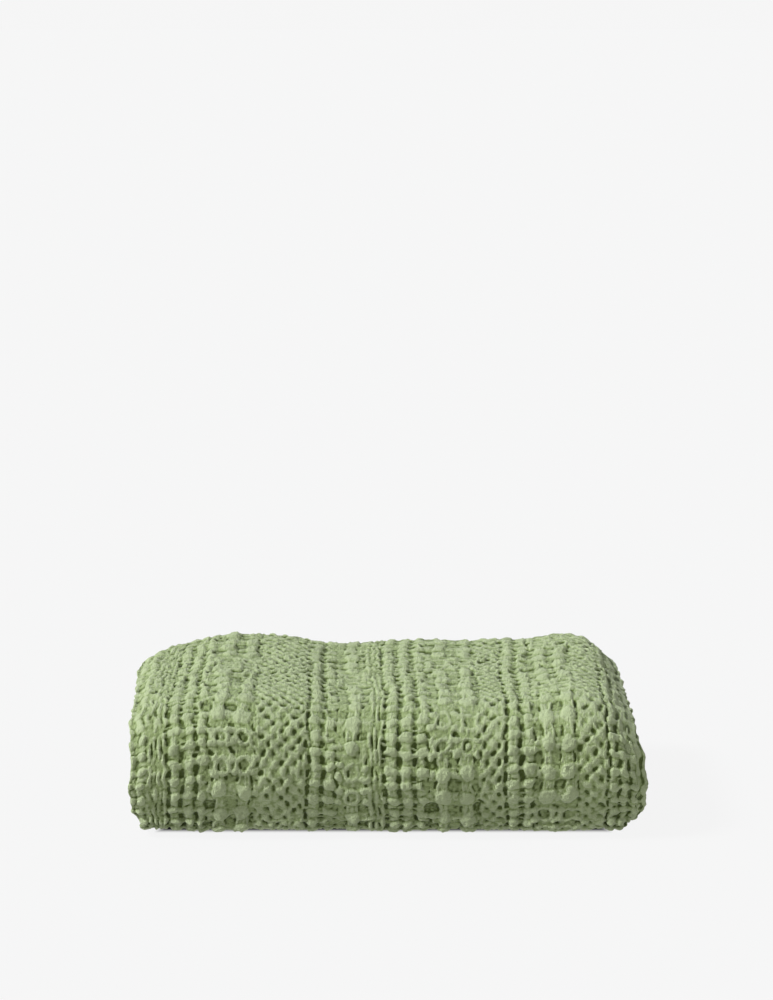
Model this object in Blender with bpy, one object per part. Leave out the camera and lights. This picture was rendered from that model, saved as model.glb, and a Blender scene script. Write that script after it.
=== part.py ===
"""Folded throw blanket, lying flat on a table.

One cloth, folded back and forth into a stack of plies that all turn round one soft nose at the
front.  Each wrap is a ply that runs forward along the bottom, up round the nose and back along
the top.  Neighbouring wraps are joined by tight turns at the back, by turns at the top and at the
bottom in order, so the whole stack is a single strip with two free hems.

Units are metres.  X is the long side, Y runs from the front nose to the back, Z is up.
"""

import math

import bmesh
import bpy

# Sizes of the folded stack
WRAPS = 8                     # wraps round the nose, so sixteen plies from bottom to top
STACK_HEIGHT = 0.112          # top of the upper ply over the table before the humps are added
PLY_THICKNESS = 0.0058        # one ply of the puffed weave, from valley to puff on both faces
NOSE_FRONT_Y = -0.125         # most forward point of the outer ply
BACK_Y = 0.122                # mean reach of the turns at the back
HALF_LENGTH = 0.206           # half of the length along X at table height

# How the nose sags: its widest point sits below the middle and its lower corner is squarer
NOSE_SAG = 0.006
LOWER_CORNER_PUSH = 0.030
LOWER_CORNER_HEIGHT = 0.01    # share of the height at which the lower push is strongest
LOWER_CORNER_SPREAD = 0.16
UPPER_CORNER_PUSH = 0.004
UPPER_CORNER_HEIGHT = 0.86
UPPER_CORNER_SPREAD = 0.14
PUSH_START_Y = -0.030         # the pushes fade out behind this line

# Fineness of the outline
LEG_STOPS = (0.0, 0.27, 0.60, 1.0)   # shares of a flat run from its back turn to the nose
TURN_SEGMENTS = 4             # pieces of a tight turn at the back
OUTER_NOSE_SEGMENTS = 12      # pieces of the outermost nose
INNER_NOSE_SEGMENTS = 6       # fewest pieces of a nose
HEM_ROUNDING = 0.0022         # reach of the rounded free edges
HEM_SHARE = 0.55              # thickness left at the very edge, as a share of the ply

# Height of the pile along its length: the two humps, the dip between them and the rounded ends.
# Columns: share of the half length, height of the pile, how far the nose comes forward.
PROFILE = (
    # share, height, forward
    (-1.000, 0.0995, -0.0045),
    (-0.960, 0.1066, -0.0015),
    (-0.900, 0.1097, 0.0000),
    (-0.820, 0.1130, 0.0005),
    (-0.740, 0.1175, 0.0010),
    (-0.660, 0.1192, 0.0015),
    (-0.540, 0.1174, 0.0010),
    (-0.380, 0.1150, 0.0005),
    (-0.240, 0.1095, -0.0005),
    (-0.120, 0.1090, 0.0000),
    (-0.020, 0.1115, 0.0010),
    (0.200, 0.1125, 0.0020),
    (0.600, 0.1128, 0.0000),
    (0.740, 0.1168, 0.0010),
    (0.820, 0.1184, 0.0005),
    (0.900, 0.1160, -0.0005),
    (0.965, 0.1103, -0.0025),
    (1.000, 0.1028, -0.0055),
)

# How far the two ends bulge past the reach at table height.
# Columns: share of the height, bulge of the left end, bulge of the right end.
END_BULGE = (
    # height, left, right
    (0.00, -0.0030, 0.0005),
    (0.08, -0.0020, 0.0040),
    (0.19, 0.0005, 0.0098),
    (0.31, 0.0055, 0.0140),
    (0.52, 0.0065, 0.0140),
    (0.72, 0.0045, 0.0120),
    (0.85, 0.0065, 0.0070),
    (1.00, 0.0085, 0.0050),
)

# Seen from above: distance from front to back along the ends, left end out by, right end out by.
EDGE_LINE = (
    # y, left, right
    (-0.125, 0.0000, 0.0000),
    (-0.060, 0.0000, 0.0000),
    (0.010, 0.0035, 0.0000),
    (0.070, 0.0070, 0.0000),
    (0.100, 0.0015, -0.0010),
    (0.122, -0.0150, -0.0055),
)

# Unevenness of the wraps, from the outermost in.
# Columns: left end reaches out by, right end reaches out by, bottom turn or hem at the back
# reaches out by, top turn at the back reaches out by.
WRAP_REACH = (
    # left, right, back_bottom, back_top
    (0.0000, -0.0070, 0.0030, 0.0010),
    (-0.0020, 0.0010, -0.0020, 0.0010),
    (-0.0005, -0.0020, -0.0020, -0.0045),
    (-0.0030, 0.0005, 0.0020, -0.0045),
    (0.0010, -0.0030, 0.0020, 0.0015),
    (-0.0025, -0.0010, -0.0035, 0.0015),
    (-0.0010, -0.0035, -0.0035, -0.0025),
    (-0.0035, -0.0015, -0.0060, -0.0025),
)

# Cloth colour and surface
SAGE_GREEN = (0.235, 0.300, 0.150, 1.0)
CLOTH_ROUGHNESS = 0.92


def clear_scene():
    """Start from an empty scene."""
    for item in list(bpy.data.objects):
        bpy.data.objects.remove(item, do_unlink=True)


def slope_at(rows, index, column):
    """Slope of a table column at one of its rows, from the rows on both sides."""
    low = rows[max(0, index - 1)]
    high = rows[min(len(rows) - 1, index + 1)]
    return (high[column] - low[column]) / (high[0] - low[0])


def smooth_between(rows, key, column):
    """Read one column of a table at key, along a smooth curve through its rows."""
    if key <= rows[0][0]:
        return rows[0][column]
    for index in range(len(rows) - 1):
        low = rows[index]
        high = rows[index + 1]
        if key <= high[0]:
            span = high[0] - low[0]
            share = (key - low[0]) / span
            rise = share * share * (3.0 - 2.0 * share)
            leave = share * (1.0 - share) ** 2 * span * slope_at(rows, index, column)
            arrive = share * share * (share - 1.0) * span * slope_at(rows, index + 1, column)
            return low[column] + (high[column] - low[column]) * rise + leave + arrive
    return rows[-1][column]


def bump(value, centre, spread):
    """A soft bell of height one round centre."""
    return math.exp(-((value - centre) / spread) ** 2)


def ply_pitch():
    """Distance from one ply to the next, middle to middle."""
    return (STACK_HEIGHT - PLY_THICKNESS) / (2 * WRAPS - 1)


def wrap_heights(wrap):
    """Middle heights of the bottom run and the top run of a wrap."""
    inset = PLY_THICKNESS / 2.0 + wrap * ply_pitch()
    return inset, STACK_HEIGHT - inset


def wrap_outline(wrap):
    """Middle line of one wrap from its bottom run, round the nose, to its top run.

    Each point is (y, z, across_y, across_z, wrap), with the direction across the ply pointing
    outward from the stack.
    """
    low, high = wrap_heights(wrap)
    middle = STACK_HEIGHT / 2.0
    radius = (high - low) / 2.0
    nose_centre = NOSE_FRONT_Y + middle
    reach = WRAP_REACH[wrap]
    back_low = BACK_Y + reach[2]
    back_high = BACK_Y + reach[3]
    turn = ply_pitch() / 2.0
    points = []
    for share in LEG_STOPS[:-1]:
        y = (back_low - turn) * (1.0 - share) + nose_centre * share
        points.append((y, low, 0.0, -1.0, wrap))
    share_in = wrap / (WRAPS - 1)
    pieces = round(OUTER_NOSE_SEGMENTS + (INNER_NOSE_SEGMENTS - OUTER_NOSE_SEGMENTS) * share_in)
    for step in range(pieces + 1):
        angle = -math.pi / 2.0 - math.pi * step / pieces
        out_y = math.cos(angle)
        out_z = math.sin(angle)
        points.append((nose_centre + radius * out_y, middle + radius * out_z, out_y, out_z, wrap))
    for share in reversed(LEG_STOPS[:-1]):
        y = nose_centre * share + (back_high - turn) * (1.0 - share)
        points.append((y, high, 0.0, 1.0, wrap))
    return points


def turn_outline(wrap, at_top):
    """Tight turn at the back from one wrap to the next one in, without its two end points."""
    low, high = wrap_heights(wrap)
    pitch = ply_pitch()
    reach = WRAP_REACH[wrap][3 if at_top else 2]
    centre_y = BACK_Y + reach - pitch / 2.0
    centre_z = high - pitch / 2.0 if at_top else low + pitch / 2.0
    side = 1.0 if at_top else -1.0
    points = []
    for step in range(1, TURN_SEGMENTS):
        share = step / TURN_SEGMENTS
        angle = side * (math.pi / 2.0 - math.pi * share)
        out_y = math.cos(angle)
        out_z = math.sin(angle)
        y = centre_y + pitch / 2.0 * out_y
        z = centre_z + pitch / 2.0 * out_z
        points.append((y, z, out_y, out_z, wrap + share))
    return points


def strip_path():
    """The whole back and forth path, with the across direction kept on one side of the cloth."""
    path = []
    for wrap in range(WRAPS):
        outline = wrap_outline(wrap)
        forward = wrap % 2 == 0
        if not forward:
            outline = [(y, z, -ay, -az, w) for y, z, ay, az, w in reversed(outline)]
        path.extend(outline)
        if wrap < WRAPS - 1:
            turn = turn_outline(wrap, at_top=forward)
            if not forward:
                turn = [(y, z, -ay, -az, w) for y, z, ay, az, w in turn]
            path.extend(turn)
    return path


def settle(y, z, along, forward):
    """Sag the nose, square its lower corner and bring it forward where the pile bulges."""
    share = z / STACK_HEIGHT
    near_nose = min(1.0, max(0.0, (PUSH_START_Y - y) / (PUSH_START_Y - NOSE_FRONT_Y)))
    near_nose = near_nose * near_nose * (3.0 - 2.0 * near_nose)
    push = LOWER_CORNER_PUSH * bump(share, LOWER_CORNER_HEIGHT, LOWER_CORNER_SPREAD)
    push += UPPER_CORNER_PUSH * bump(share, UPPER_CORNER_HEIGHT, UPPER_CORNER_SPREAD)
    new_y = y - (push + forward) * near_nose
    height = smooth_between(PROFILE, along, 1)
    sagged = z - NOSE_SAG * math.sin(math.pi * share)
    return new_y, sagged * height / STACK_HEIGHT


def end_reach(along, y, share, wrap):
    """How far a point near either end is moved out along X."""
    low = min(WRAPS - 1, int(wrap))
    high = min(WRAPS - 1, low + 1)
    column = 1 if along < 0.0 else 2
    own_low = WRAP_REACH[low][column - 1]
    own_high = WRAP_REACH[high][column - 1]
    own = own_low + (own_high - own_low) * (wrap - low)
    bulge = smooth_between(END_BULGE, share, column)
    line = smooth_between(EDGE_LINE, y, column)
    side = -1.0 if along < 0.0 else 1.0
    return side * along ** 4 * (bulge + line + own)


def folded_cloth():
    """Sweep the strip along X and close it at both ends and at both hems."""
    path = strip_path()
    half = PLY_THICKNESS / 2.0
    stations = [(row[0], row[2], 1.0, 0.0) for row in PROFILE]
    first = PROFILE[0]
    last = PROFILE[-1]
    stations.insert(0, (first[0], first[2], HEM_SHARE, -HEM_ROUNDING))
    stations.append((last[0], last[2], HEM_SHARE, HEM_ROUNDING))
    mesh = bpy.data.meshes.new("folded_throw")
    work = bmesh.new()
    rings = []
    for along, forward, share_thick, extra in stations:
        outer = []
        inner = []
        for index, (y, z, across_y, across_z, wrap) in enumerate(path):
            at_hem = index in (0, len(path) - 1)
            reach = half * share_thick * (HEM_SHARE if at_hem else 1.0)
            x = HALF_LENGTH * along + extra + end_reach(along, y, z / STACK_HEIGHT, wrap)
            for side, ring in ((1.0, outer), (-1.0, inner)):
                at_y = y + side * reach * across_y
                at_z = z + side * reach * across_z
                new_y, new_z = settle(at_y, at_z, along, forward)
                ring.append(work.verts.new((x, new_y, new_z)))
        rings.append(outer + inner[::-1])
    count = len(rings[0])
    for ring, after in zip(rings, rings[1:]):
        for index in range(count):
            follow = (index + 1) % count
            work.faces.new((ring[index], ring[follow], after[follow], after[index]))
    for ring in (rings[0], rings[-1]):
        for index in range(count // 2 - 1):
            across = count - 1 - index
            work.faces.new((ring[index], ring[index + 1], ring[across - 1], ring[across]))
    bmesh.ops.recalc_face_normals(work, faces=work.faces[:])
    work.to_mesh(mesh)
    work.free()
    cloth = bpy.data.objects.new("folded_throw", mesh)
    bpy.context.scene.collection.objects.link(cloth)
    return cloth


def stand_on_table(item):
    """Centre the object over the origin with its lowest face on z = 0."""
    xs = [vertex.co.x for vertex in item.data.vertices]
    ys = [vertex.co.y for vertex in item.data.vertices]
    zs = [vertex.co.z for vertex in item.data.vertices]
    mid_x = (min(xs) + max(xs)) / 2.0
    mid_y = (min(ys) + max(ys)) / 2.0
    low_z = min(zs)
    for vertex in item.data.vertices:
        vertex.co.x -= mid_x
        vertex.co.y -= mid_y
        vertex.co.z -= low_z


def soft_shading(item):
    """Shade the round plies smoothly and keep the cloth edges crisp."""
    bpy.ops.object.select_all(action="DESELECT")
    item.select_set(True)
    bpy.context.view_layer.objects.active = item
    bpy.ops.object.shade_smooth()
    item.data.set_sharp_from_angle(angle=math.radians(50.0))


def cloth_material():
    """Sage green cotton."""
    material = bpy.data.materials.new("throw_cotton")
    material.use_nodes = True
    shader = material.node_tree.nodes["Principled BSDF"]
    shader.inputs["Base Color"].default_value = SAGE_GREEN
    shader.inputs["Roughness"].default_value = CLOTH_ROUGHNESS
    shader.inputs["Metallic"].default_value = 0.0
    return material


def main():
    clear_scene()
    cloth = folded_cloth()
    stand_on_table(cloth)
    cloth.data.materials.append(cloth_material())
    soft_shading(cloth)


main()
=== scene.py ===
"""Folded throw blanket with a puffed cotton weave, on a pale studio floor.

The cloth lies folded in sixteen plies that turn round one soft nose at the front.  Every ply is a
thin sheet with its own puffs, laid on the folds of the solid stack.  The weave is charted in bands
across the cloth: chains of pillows, large pillows, slanting lattice and fine crinkles.
"""

import math

import bmesh
import bpy
import numpy as np
from bpy.props import FloatProperty, FloatVectorProperty, IntProperty, PointerProperty
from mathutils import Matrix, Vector


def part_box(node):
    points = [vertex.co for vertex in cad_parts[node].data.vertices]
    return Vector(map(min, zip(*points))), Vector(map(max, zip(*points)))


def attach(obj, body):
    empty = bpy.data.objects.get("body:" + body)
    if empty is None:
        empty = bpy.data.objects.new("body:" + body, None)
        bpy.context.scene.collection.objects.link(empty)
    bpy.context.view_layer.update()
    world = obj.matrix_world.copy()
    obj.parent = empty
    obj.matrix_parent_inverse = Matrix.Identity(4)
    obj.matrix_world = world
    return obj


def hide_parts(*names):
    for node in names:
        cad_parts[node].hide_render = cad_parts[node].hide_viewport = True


bl_info = {
    "name": "Folded throw",
    "version": (1, 0, 0),
    "blender": (4, 5, 0),
    "location": "3D view > Sidebar > Throw",
    "description": "Lays the puffed weave of a folded throw on its stack and sets up the studio",
    "category": "Object",
}

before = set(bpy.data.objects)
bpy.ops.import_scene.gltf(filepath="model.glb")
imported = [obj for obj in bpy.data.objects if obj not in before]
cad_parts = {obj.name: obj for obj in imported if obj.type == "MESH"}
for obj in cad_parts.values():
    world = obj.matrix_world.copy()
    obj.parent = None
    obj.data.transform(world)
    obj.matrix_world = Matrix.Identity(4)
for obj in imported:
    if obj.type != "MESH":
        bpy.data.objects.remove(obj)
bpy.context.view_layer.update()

NODE = "folded_throw"

# Folded stack, as in the solid
WRAPS = 8
STACK_HEIGHT = 0.112
PLY_THICKNESS = 0.0058
NOSE_FRONT_Y = -0.125
BACK_Y = 0.122
HALF_LENGTH = 0.206
NOSE_SAG = 0.006
LOWER_CORNER = (0.030, 0.01, 0.16)   # push, share of the height, spread
UPPER_CORNER = (0.004, 0.86, 0.14)
PUSH_START_Y = -0.030

# Columns: share of the half length, height of the pile, how far the nose comes forward.
PROFILE = (
    (-1.000, 0.0995, -0.0045),
    (-0.960, 0.1066, -0.0015),
    (-0.900, 0.1097, 0.0000),
    (-0.820, 0.1130, 0.0005),
    (-0.740, 0.1175, 0.0010),
    (-0.660, 0.1192, 0.0015),
    (-0.540, 0.1174, 0.0010),
    (-0.380, 0.1150, 0.0005),
    (-0.240, 0.1095, -0.0005),
    (-0.120, 0.1090, 0.0000),
    (-0.020, 0.1115, 0.0010),
    (0.200, 0.1125, 0.0020),
    (0.600, 0.1128, 0.0000),
    (0.740, 0.1168, 0.0010),
    (0.820, 0.1184, 0.0005),
    (0.900, 0.1160, -0.0005),
    (0.965, 0.1103, -0.0025),
    (1.000, 0.1028, -0.0055),
)

# Columns: share of the height, bulge of the left end, bulge of the right end.
END_BULGE = (
    (0.00, -0.0030, 0.0005),
    (0.08, -0.0020, 0.0040),
    (0.19, 0.0005, 0.0098),
    (0.31, 0.0055, 0.0140),
    (0.52, 0.0065, 0.0140),
    (0.72, 0.0045, 0.0120),
    (0.85, 0.0065, 0.0070),
    (1.00, 0.0085, 0.0050),
)

# Seen from above, columns: place from front to back, left end out by, right end out by.
EDGE_LINE = (
    (-0.125, 0.0000, 0.0000),
    (-0.060, 0.0000, 0.0000),
    (0.010, 0.0035, 0.0000),
    (0.070, 0.0070, 0.0000),
    (0.100, 0.0015, -0.0010),
    (0.122, -0.0150, -0.0055),
)

# Columns: left end out by, right end out by, bottom turn or hem out by, top turn out by.
WRAP_REACH = (
    (0.0000, -0.0070, 0.0030, 0.0010),
    (-0.0020, 0.0010, -0.0020, 0.0010),
    (-0.0005, -0.0020, -0.0020, -0.0045),
    (-0.0030, 0.0005, 0.0020, -0.0045),
    (0.0010, -0.0030, 0.0020, 0.0015),
    (-0.0025, -0.0010, -0.0035, 0.0015),
    (-0.0010, -0.0035, -0.0035, -0.0025),
    (-0.0035, -0.0015, -0.0060, -0.0025),
)

# Weave chart across the cloth.
# Columns: kind of weave, left edge and right edge in millimetres, number of columns in the band.
BANDS = (
    ("puff", -226.0, -199.0, 3),
    ("crinkle", -199.0, -182.0, 4),
    ("chain", -182.0, -149.0, 3),
    ("big", -149.0, -110.0, 2),
    ("lattice", -110.0, -66.0, 4),
    ("chain", -66.0, -40.0, 2),
    ("big", -40.0, -13.0, 1),
    ("crinkle", -13.0, 1.0, 3),
    ("chain", 1.0, 41.0, 3),
    ("big", 41.0, 84.0, 2),
    ("lattice", 84.0, 106.0, 2),
    ("chain", 106.0, 131.0, 2),
    ("big", 131.0, 167.0, 2),
    ("lattice", 167.0, 191.0, 2),
    ("chain", 191.0, 224.0, 4),
)

END_SHARE = 0.7               # share of an end's bulge that the weave covers unstretched
MAP_STEP = 0.0006             # spacing of the weave chart's height map
MAP_HALF_WIDTH = 0.228
MAP_LENGTH = 0.7980           # the chart repeats along the cloth after this length
ROW_PITCH = 0.0134            # one pillow to the next along a chain
SEAM_AT = 0.004               # station near which the outer ply is parted in two
TOP_FROM = 0.385              # length along the cloth at which its top begins
TOP_TO = 0.560                # length at which it ends, near the first fold at the back
FLATTER_BEFORE = 0.060        # length before that end at which the puffs grow flatter,
FLATTER_OVER = 0.050          # over this length,
FLATTER_BY = 0.40             # by this share
TOP_CREASES = 420             # short creases across the cloth on the top
NOSE_FROM = 0.150             # length along the cloth at which its woven outer face begins
PAST_FOLD = 0.012             # how far the outer ply runs past the first fold at the back
FACE_SHIFT = 0.331            # how far the chart is moved along on the inner faces
UNSEEN_STEP = 0.006           # spacing of the rows that can't be seen
INNER_STEP = 0.0020           # spacing of the inner plies' stations at the back
INNER_ROW_STEP = 0.0030       # spacing of the inner plies' rows
BACK_DEPTH = 0.014            # depth of the back folds that carry the full weave
HEM_ROUND = 0.0026            # how far a hem is rounded out
END_ROUND = 0.0031            # how far an end is rounded out

# Stage
PAINTED_SHADOW_INSET = (0.026, 0.022)   # from the solid's sides to where the floor stops glowing, the edge of the painted shadow under the throw
PAINTED_SHADOW_FADE = 0.012             # width of the soft edge of that painted shadow
THROW_BELOW = math.atan2(230.0, 2500.0)   # angle of the throw below the picture's middle


def settings():
    """Sizes and colours that a user may change."""
    return bpy.context.scene.throw_cloth


def stage_settings():
    """Floor, light and camera values that a user may change."""
    return bpy.context.scene.throw_stage


def eased(share):
    """A share from 0 to 1 that starts and ends softly."""
    return share * share * (3.0 - 2.0 * share)


def read_table(rows, keys, column):
    """Read one column of a table at many keys, along the smooth curve of the solid."""
    knots = np.array([row[0] for row in rows])
    values = np.array([row[column] for row in rows])
    slopes = np.empty_like(values)
    slopes[1:-1] = (values[2:] - values[:-2]) / (knots[2:] - knots[:-2])
    slopes[0] = (values[1] - values[0]) / (knots[1] - knots[0])
    slopes[-1] = (values[-1] - values[-2]) / (knots[-1] - knots[-2])
    keys = np.clip(keys, knots[0], knots[-1])
    low = np.clip(np.searchsorted(knots, keys, side="right") - 1, 0, len(knots) - 2)
    span = knots[low + 1] - knots[low]
    share = (keys - knots[low]) / span
    leave = share * (1.0 - share) ** 2 * span * slopes[low]
    arrive = share * share * (share - 1.0) * span * slopes[low + 1]
    return values[low] + (values[low + 1] - values[low]) * eased(share) + leave + arrive


def bell(value, push, centre, spread):
    """A soft bell of the given push round a centre."""
    return push * np.exp(-((value - centre) / spread) ** 2)


def ripple(a, b, seed):
    """Slow, uneven waves over a surface, from about -1 to 1; a and b are in turns."""
    first = np.sin(2.0 * math.pi * (a + 0.37 * b) + seed)
    second = np.sin(2.0 * math.pi * (1.71 * b - 0.53 * a) + 2.3 * seed + 1.0)
    third = np.sin(2.0 * math.pi * (2.39 * a + 1.13 * b) + 4.1 * seed + 2.0)
    return 0.45 * first + 0.33 * second + 0.22 * third


def ply_pitch():
    """Distance from one ply to the next, middle to middle."""
    return (STACK_HEIGHT - PLY_THICKNESS) / (2 * WRAPS - 1)


class FoldPath:
    """Middle line of the whole strip, from the hem under the stack to the innermost hem."""

    def __init__(self):
        parts = []
        for wrap in range(WRAPS):
            forward = wrap % 2 == 0
            outline = self.wrap_outline(wrap)
            parts.append(outline if forward else self.turned(outline)[:, ::-1])
            if wrap < WRAPS - 1:
                turn = self.back_turn(wrap, forward)
                parts.append(turn if forward else self.turned(turn))
        line = np.concatenate(parts, axis=1)
        steps = np.hypot(np.diff(line[0]), np.diff(line[1]))
        keep = np.concatenate(([True], steps > 1e-7))
        line = line[:, keep]
        steps = np.hypot(np.diff(line[0]), np.diff(line[1]))
        self.line = line
        self.length = np.concatenate(([0.0], np.cumsum(steps)))
        self.total = self.length[-1]

    def wrap_outline(self, wrap):
        """One wrap: bottom run, nose and top run."""
        inset = PLY_THICKNESS / 2.0 + wrap * ply_pitch()
        middle = STACK_HEIGHT / 2.0
        radius = middle - inset
        nose = NOSE_FRONT_Y + middle
        turn = ply_pitch() / 2.0
        low_back = BACK_Y + WRAP_REACH[wrap][2] - turn
        high_back = BACK_Y + WRAP_REACH[wrap][3] - turn
        flat = np.linspace(0.0, 1.0, 60)
        angle = -math.pi / 2.0 - np.linspace(0.0, math.pi, 160)
        y = np.concatenate((low_back + (nose - low_back) * flat,
                            nose + radius * np.cos(angle),
                            nose + (high_back - nose) * flat))
        z = np.concatenate((np.full(60, inset),
                            middle + radius * np.sin(angle),
                            np.full(60, STACK_HEIGHT - inset)))
        out_y = np.concatenate((np.zeros(60), np.cos(angle), np.zeros(60)))
        out_z = np.concatenate((np.full(60, -1.0), np.sin(angle), np.full(60, 1.0)))
        return np.array((y, z, out_y, out_z, np.full(280, float(wrap))))

    def back_turn(self, wrap, at_top):
        """Tight turn at the back from one wrap to the next."""
        pitch = ply_pitch()
        inset = PLY_THICKNESS / 2.0 + wrap * pitch + pitch / 2.0
        centre_y = BACK_Y + WRAP_REACH[wrap][3 if at_top else 2] - pitch / 2.0
        centre_z = STACK_HEIGHT - inset if at_top else inset
        share = np.linspace(0.0, 1.0, 26)[1:-1]
        side = 1.0 if at_top else -1.0
        angle = side * (math.pi / 2.0 - math.pi * share)
        out_y = np.cos(angle)
        out_z = np.sin(angle)
        return np.array((centre_y + pitch / 2.0 * out_y, centre_z + pitch / 2.0 * out_z,
                         out_y, out_z, wrap + share))

    @staticmethod
    def turned(line):
        """The same line with its across direction pointing to the other face."""
        return line * np.array((1.0, 1.0, -1.0, -1.0, 1.0))[:, None]

    def at(self, along_cloth):
        """Point, across direction and wrap at lengths along the cloth."""
        return [np.interp(along_cloth, self.length, row) for row in self.line]

    def start_of(self, wrap):
        """Length at which a wrap begins."""
        return self.length[np.argmax(self.line[4] >= wrap - 1e-9)]


PATH = FoldPath()


def lay(along_cloth, along, extra, offset):
    """Put points of the cloth in space.

    along_cloth is the length along the strip, along the share of the half length, extra a
    further reach along X and offset the distance across the ply from its middle.
    """
    y, z, out_y, out_z, wrap = PATH.at(along_cloth)
    share = np.clip(z / STACK_HEIGHT, 0.0, 1.0)
    own = np.zeros_like(y)
    for column, chosen in ((0, along < 0.0), (1, along >= 0.0)):
        reach = np.interp(wrap, np.arange(WRAPS), [row[column] for row in WRAP_REACH])
        bulge = read_table(END_BULGE, share, column + 1) + read_table(EDGE_LINE, y, column + 1)
        own = np.where(chosen, reach + bulge, own)
    x = HALF_LENGTH * along + extra + np.sign(along) * along ** 4 * own
    y = y + offset * out_y
    z = z + offset * out_z
    share = z / STACK_HEIGHT
    near = eased(np.clip((PUSH_START_Y - y) / (PUSH_START_Y - NOSE_FRONT_Y), 0.0, 1.0))
    push = bell(share, *LOWER_CORNER) + bell(share, *UPPER_CORNER)
    y = y - (push + read_table(PROFILE, along, 2)) * near
    height = read_table(PROFILE, along, 1)
    z = (z - NOSE_SAG * np.sin(math.pi * share)) * height / STACK_HEIGHT
    return np.stack((x, y, z), axis=-1)


def fit_shift():
    """Shift that brings the strip's own box onto the box of the solid."""
    lengths = np.linspace(0.0, PATH.total, 4000)
    rows = []
    for station in np.linspace(-1.0, 1.0, 41):
        for side in (-0.5, 0.5):
            along = np.full_like(lengths, station)
            rows.append(lay(lengths, along, 0.0 * along, side * PLY_THICKNESS + 0.0 * along))
    points = np.concatenate(rows)
    low = points.min(axis=0)
    high = points.max(axis=0)
    cad_low, cad_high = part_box(NODE)
    middle = [(cad_low[i] + cad_high[i]) / 2.0 - (low[i] + high[i]) / 2.0 for i in range(2)]
    return np.array((middle[0], middle[1], cad_low[2] - low[2]))


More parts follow.
